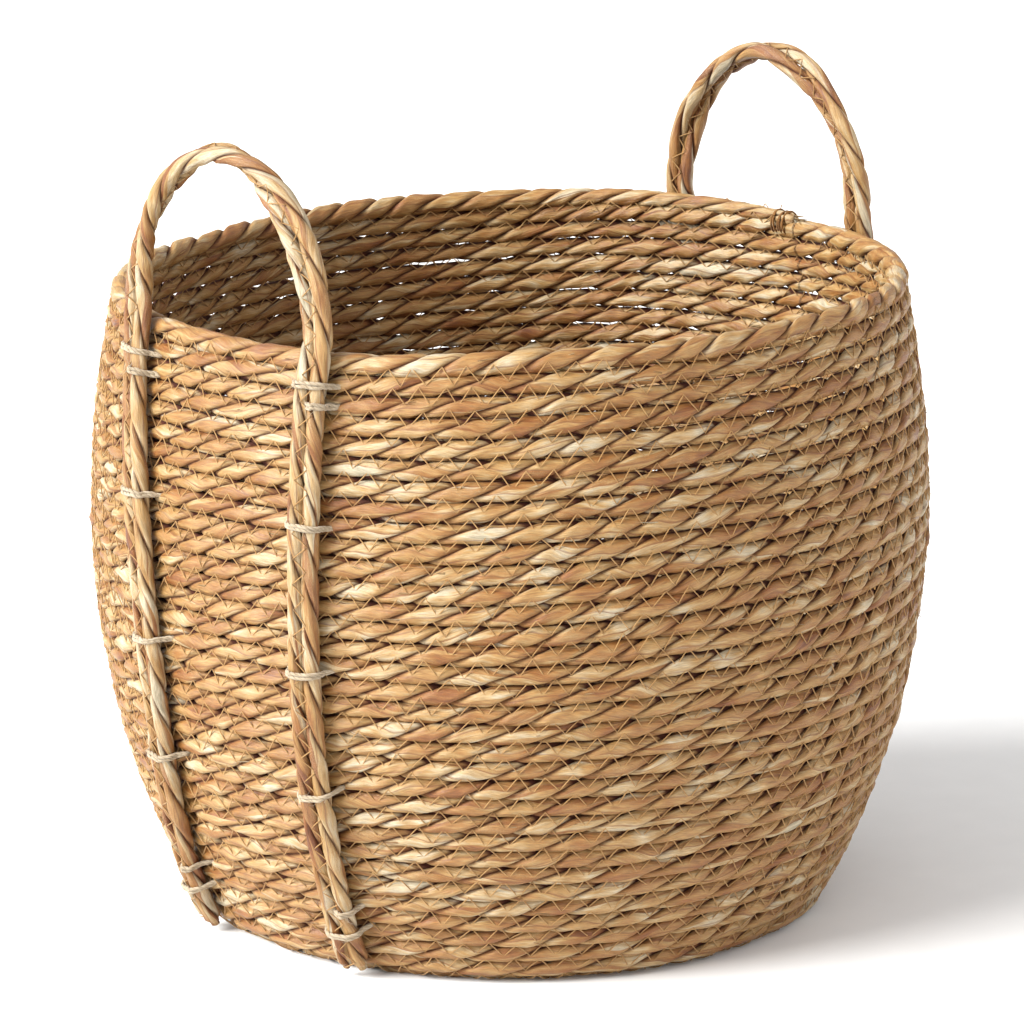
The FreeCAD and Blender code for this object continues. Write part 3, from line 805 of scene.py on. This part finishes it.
def leg_middle(side, leg, share):
    """The middle of a leg's band of two ropes: its place, and the way along the wall to its outer rope."""
    height = share * RIM_HEIGHT
    turn = leg_angle(leg, share)
    row_angle = math.atan2(leg * math.sin(turn), side * math.cos(turn))
    out, up = wall_drift(row_angle, height)
    reach = float(outer_radius(height)) + LEG_GAP + HANDLE_ROPE / 2 + float(out)
    place = Vector((reach * math.cos(row_angle), reach * math.sin(row_angle), height + float(up)))
    return place, Vector((place.y, -place.x, 0)).normalized() * side


def loop_middle(side, turn):
    """The middle of the loop's band from its front foot, turn 0, to its back foot, turn pi."""
    rise = LOOP_RISE * math.sin(turn)
    reach = math.copysign(abs(math.cos(turn)) ** POINTED, math.cos(turn))
    place = Vector((side * HINGE_RADIUS, -LOOP_HALF_WIDTH * reach, HINGE_HEIGHT + rise))
    normal = Vector((0, -LOOP_RISE * math.cos(turn), LOOP_HALF_WIDTH * math.sin(turn))).normalized()
    share = turn / math.pi
    twist = math.pi * (3 * share ** 2 - 2 * share ** 3) - LOOP_TWIST * math.sin(2 * turn) ** 2
    return place, normal * math.cos(twist) + Vector((side, 0, 0)) * math.sin(twist)


def handle_band(side):
    """The band's line from front foot to back foot: places, ways to the outer rope, faces and lengths."""
    spots = [leg_middle(side, FRONT, share) for share in LEG_SHARES]
    spots += [loop_middle(side, math.pi * step / LOOP_STEPS) for step in range(LOOP_STEPS + 1)]
    spots += [leg_middle(side, BACK, share) for share in reversed(LEG_SHARES)]
    both = np.array([[*place, *way] for place, way in spots])
    fine = spline(both, 12)
    places, ways = spread(fine[:, :3], 0.0015, fine[:, 3:])
    tangent = unit(np.gradient(places, axis=0))
    ways = unit(ways - (ways * tangent).sum(1, keepdims=True) * tangent)
    faces = side * np.cross(tangent, ways)
    lengths = np.concatenate([[0.0], np.cumsum(np.linalg.norm(np.diff(places, axis=0), axis=1))])
    return places, ways, faces, lengths


def make_handle(side_name, rng):
    """The two ropes of a handle and the thread that joins them."""
    side = SIDES[side_name]
    body = f"{side_name}_handle"
    places, ways, faces, lengths = handle_band(side)
    laid = {}
    for rope, sign in (("outer", 1), ("inner", -1)):
        phase = side * 2 * math.pi * lengths / HANDLE_LAY.length + rng.uniform(0, 6)
        phase = phase + 0.9 * wander(lengths, 0.06, rng)
        sizes = [1.0 + 0.07 * wander(lengths, 0.03, rng) for _ in range(2)]
        middle = places + sign * HALF_BAND * ways
        middle = middle + 0.0004 * wander(lengths, 0.05, rng)[:, None] * faces
        ending = np.clip(np.minimum(lengths, lengths[-1] - lengths) / 0.004, 0.6, 1.0)
        tubes = []
        for strand in range(2):
            leaf_turn = side * 150.0 * lengths + 2.5 * wander(lengths, 0.05, rng)
            # The second value is painted shade in the crease between the two strands.
            rings, groove = strand_rings(HANDLE_LAY, middle, faces, ways, phase + math.pi * strand,
                                         sizes[strand] * ending, leaf_turn)
            tubes.append({"rings": rings, "along": lengths, "seed": 41.0 * strand + 7 * sign + 60 * side,
                          "groove": groove})
        piece = tube_object(f"{body}_{rope}_rope", tubes, HANDLE_ROPE_LOOK)
        nodes = [f"{body}_{leg}_leg_{rope}_rope" for leg in ("front", "back")]
        finish_handle(piece, body, "handle_rope", *nodes, f"{body}_loop_{rope}_rope")
        laid[sign] = (phase, sizes)
    tubes = [band_thread(places, ways, faces, lengths, laid, face, rng) for face in (1, -1)]
    piece = tube_object(f"{body}_stitching", tubes, THREAD_LOOK)
    nodes = [f"{body}_{part}_stitching" for part in ("front_leg", "back_leg", "loop")]
    finish_handle(piece, body, "sewing_thread", *nodes)


def finish_handle(piece, body, slot, *nodes):
    """A handle's piece has its place baked into its mesh, and the given parts are hidden. The body and slot
    are not used.
    """
    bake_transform(piece)
    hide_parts(*nodes)


def band_thread(places, ways, faces, lengths, laid, face, rng):
    """Zig-zag thread across one face of a handle's band, from the middle of one rope to the other."""
    count = int(lengths[-1] / STITCH)
    corners = np.linspace(0.002, lengths[-1] - 0.002, count + 1) + rng.normal(0, 0.0004, count + 1)
    reach = np.where(np.arange(count + 1) % 2, 1.0, -1.0) * HALF_BAND * rng.uniform(0.75, 1.05, count + 1)
    steps = 6
    spot = np.arange(count * steps + 1) / steps
    length = np.interp(spot, np.arange(count + 1), corners)
    across = np.interp(spot, np.arange(count + 1), reach)
    heights = np.full(len(spot), 0.0012)
    for sign in (1, -1):
        phase, sizes = laid[sign]
        turned = np.interp(length, lengths, phase)
        local = [np.interp(length, lengths, size) for size in sizes]
        heights = np.maximum(heights, surface_height(HANDLE_LAY, turned if face > 0 else math.pi - turned,
                                                     local, across - sign * HALF_BAND))
    at_corner = np.abs(spot - np.round(spot)) < 0.01
    heights = pull_taut(np.where(at_corner, heights - CORNER_SINK, heights - THREAD_SINK))
    line = [np.stack([np.interp(length, lengths, values[:, k]) for k in range(3)], 1)
            for values in (places, ways, faces)]
    points = line[0] + across[:, None] * line[1] + face * (heights + 0.5 * THREAD)[:, None] * line[2]
    return {"rings": tube_rings(points, THREAD, THREAD_SPOTS), "along": length, "seed": 5.0 + face}


TWINE_LAY = Lay(0.0019, 0.0060, spots=8)
TIES = (("rim_tie", 0.955, "band"), ("rim_stay", 0.925, "one_rope"), ("upper_tie", 0.745, "band"),
        ("middle_tie", 0.520, "band"), ("lower_tie", 0.325, "band"), ("foot_stay", 0.125, "one_rope"),
        ("foot_tie", 0.085, "band"))


TIE_TOP = 0.0054
TIE_MARGIN = 0.0052
WRAP_APART = 0.00082
TIE_HAIRS = 9


def tie_outline(half_width):
    """A tie's outline in its own plane, as across and outward distances, from the wall round the ropes."""
    edge = half_width + TIE_MARGIN
    right = [(edge - 0.0046, TIE_TOP - 0.0002), (edge - 0.0018, TIE_TOP - 0.0022),
             (edge - 0.0005, 0.0008), (edge + 0.0004, -0.0026), (edge + 0.0018, -0.0052),
             (edge + 0.0032, -0.0076), (edge + 0.0020, -0.0100), (edge - 0.0010, -0.0106)]
    left = [(-across, out) for across, out in reversed(right)]
    return [*left, (0.0, TIE_TOP), *right]


def tie_spread(across, half_width):
    """How far apart the two wraps are: side by side over the ropes, together where they enter the wall."""
    return 1.0 - 0.8 * min(abs(across) / (half_width + 0.0084), 1.0) ** 3


def make_tie(side_name, leg_name, label, share, holds, rng):
    """Two wraps of twine round a leg, through the wall and across its inside."""
    side = SIDES[side_name]
    leg = FRONT if leg_name == "front" else BACK
    place, way = leg_middle(side, leg, share)
    above, _ = leg_middle(side, leg, share + 0.01)
    up = (above - place).normalized()
    face = way.cross(up).normalized()
    if face.dot(Vector((place.x, place.y, 0))) < 0:
        face = -face
    if holds == "one_rope":
        place = place + way * HALF_BAND
    half = HALF_BAND if holds == "band" else 0.0
    tubes = []
    tilt = rng.normal(0, 0.05)
    for wrap in (-1, 1):
        points = [place + way * (across + rng.normal(0, 0.0002)) + face * (out + rng.normal(0, 0.0001))
                  + up * (WRAP_APART * wrap * tie_spread(across, half) + tilt * across
                          + rng.normal(0, 0.0002))
                  for across, out in tie_outline(half)]
        points.append(points[0] + up * 0.0003)
        line, = spread(spline([tuple(point) for point in points], 10), 0.0006)
        tangent = unit(np.gradient(line, axis=0))
        flat = np.broadcast_to(np.array(up), line.shape)
        first = unit(flat - (flat * tangent).sum(1, keepdims=True) * tangent)
        second = np.cross(tangent, first)
        along = np.linspace(0, len(line) * 0.0006, len(line))
        for strand in range(2):
            phase = 2 * math.pi * along / TWINE_LAY.length + math.pi * strand + wrap
            size = 1.0 + 0.08 * wander(along, 0.004, rng)
            rings, groove = strand_rings(TWINE_LAY, line, first, second, phase, size, along * 0)
            tubes.append({"rings": rings, "along": along, "seed": rng.uniform(0, 90), "groove": groove})
    tubes += tie_fuzz(place, way, face, up, half, rng)
    name = f"{side_name}_handle_{leg_name}_leg_{label}"
    piece = tube_object(f"{name}_twine", tubes, TWINE_LOOK)
    ride_basket(piece, "jute_twine", name)


def tie_fuzz(place, way, face, up, half, rng):
    """Loose hairs that stand off the twine."""
    tubes = []
    for _ in range(TIE_HAIRS):
        across = rng.uniform(-half - 0.004, half + 0.004)
        root = place + way * across + face * 0.0052 + up * rng.normal(0, 0.001)
        lean = way * rng.normal(0, 0.0016) + up * rng.normal(0, 0.0018)
        lean = lean + face * abs(rng.normal(0.0006, 0.0005))
        bend = way * rng.normal(0, 0.001) + up * rng.normal(0, 0.001)
        line = spline([tuple(root), tuple(root + lean), tuple(root + lean * 1.7 + bend)], 4)
        tubes.append({"rings": tube_rings(line, np.linspace(0.00009, 0.00003, len(line)), 4),
                      "along": np.linspace(0, 0.004, len(line)), "seed": rng.uniform(0, 90)})
    return tubes


HANDLE_RNG = seeded(37)
for side_name in SIDES:
    make_handle(side_name, HANDLE_RNG)
    for leg_name in ("front", "back"):
        for label, share, holds in TIES:
            make_tie(side_name, leg_name, label, share, holds, HANDLE_RNG)


# ------------------------------------------------------------------ loose fibres
FRAYS = 900


def make_frays(rng):
    """Thin strips of leaf that have lifted off the rope, outside and inside."""
    tubes = []
    for _ in range(FRAYS):
        outside = rng.uniform() < 0.72
        turn = FOOT_TURN + rng.uniform(0.5, WALL_COURSES - 0.2)
        length = rng.uniform(0.003, 0.010)
        steps = 7
        share = np.linspace(0, 1, steps)
        start = np.interp(turn, COIL_TURN, COIL_LENGTH)
        slant = rng.normal(0.25, 0.25)
        run = start + rng.choice((-1.0, 1.0)) * share * length
        turns = np.interp(run, COIL_LENGTH, COIL_TURN)
        across = rng.uniform(-0.0035, 0.0035) + slant * share * length * 0.5
        place, out, up = coil_place(turns, across)
        base_height = float(rope_surface(turns[:1], across[:1], outside)[0])
        lift = max(base_height, 0.002) - 0.0004 + rng.uniform(0.10, 0.30) * length * share ** 1.5
        points = place + (1.0 if outside else -1.0) * lift[:, None] * out
        tubes.append(ribbon(points, out, rng.uniform(0.00018, 0.00055), rng, run))
    piece = tube_object("loose_fibres", tubes, WALL_ROPE)
    ride_basket(piece, "seagrass_rope")


def ribbon(points, out, half_width, rng, along):
    """A flat strip along points that narrows to its tip."""
    tangent = unit(np.gradient(points, axis=0))
    side = unit(np.cross(tangent, out))
    face = np.cross(side, tangent)
    narrowing = np.linspace(1.0, 0.25, len(points))[:, None, None]
    corners = np.array([(1.0, 0.0), (0.0, 0.22), (-1.0, 0.0), (0.0, -0.22)])
    rings = points[:, None] + narrowing * half_width * (corners[None, :, :1] * side[:, None]
                                                        + corners[None, :, 1:] * face[:, None])
    return {"rings": rings, "along": along, "seed": rng.uniform(0, 90)}


make_frays(seeded(53))
coil_end_wraps(seeded(59))
coil_end_leaves(seeded(61))


# ------------------------------------------------------------------ stage
FLOOR_SIZE = 40.0


def make_stage():
    """A pale floor that runs up to a pale horizon."""
    mesh = bpy.data.meshes.new("floor")
    half = FLOOR_SIZE / 2
    square = [(-half, -half, 0), (half, -half, 0), (half, half, 0), (-half, half, 0)]
    mesh.from_pydata(square, [], [(0, 1, 2, 3)])
    floor = bpy.data.objects.new("floor", mesh)
    bpy.context.scene.collection.objects.link(floor)
    shader = Shader("floor")
    grain = shader.noise(shader.node("ShaderNodeTexCoord").outputs["Object"], 40.0, 3.0)
    shader.put(shader.surface.inputs["Base Color"],
               shader.ramp(grain, ((0.3, (0.90, 0.90, 0.90, 1)), (0.7, (0.92, 0.92, 0.92, 1)))))
    shader.surface.inputs["Roughness"].default_value = 0.9
    mesh.materials.append(shader.material)


def area_light(name, azimuth, elevation, distance, size, power, tint=(1.0, 1.0, 1.0)):
    """A soft square light that looks at the basket's middle from an azimuth and elevation in degrees."""
    data = bpy.data.lights.new(name, "AREA")
    data.size = size
    data.energy = power
    data.color = tint
    light = bpy.data.objects.new(name, data)
    bpy.context.scene.collection.objects.link(light)
    turn, lift = math.radians(azimuth), math.radians(elevation)
    aim = Vector((0, 0, BELLY_HEIGHT))
    level = math.cos(lift)
    way = Vector((math.sin(turn) * level, -math.cos(turn) * level, math.sin(lift)))
    light.location = aim + distance * way
    light.rotation_euler = (aim - light.location).to_track_quat("-Z", "Y").to_euler()


SUN_POWER = 6.4
SUN_SPREAD = math.radians(40.0)
SUN_TILT = math.radians(55.0)
SUN_TURN = math.radians(-110.0)
SKY_POWER = 0.75


def make_light():
    """Bright soft studio light, strongest from the left of the camera."""
    data = bpy.data.lights.new("key", "SUN")
    data.energy = SUN_POWER
    data.angle = SUN_SPREAD
    data.color = (1.0, 0.985, 0.96)
    key = bpy.data.objects.new("key", data)
    bpy.context.scene.collection.objects.link(key)
    key.rotation_euler = (SUN_TILT, 0.0, SUN_TURN)
    area_light("fill", 15.0, 20.0, 3.0, 2.0, 16.0)
    area_light("side", -115.0, 20.0, 2.5, 1.2, 36.0, (0.70, 0.90, 1.0))
    world = bpy.data.worlds.new("studio")
    world.use_nodes = True
    world.node_tree.nodes["Background"].inputs["Color"].default_value = (1.0, 1.0, 1.0, 1.0)
    world.node_tree.nodes["Background"].inputs["Strength"].default_value = SKY_POWER
    bpy.context.scene.world = world
    bpy.context.scene.view_settings.view_transform = "Standard"


make_stage()
make_light()
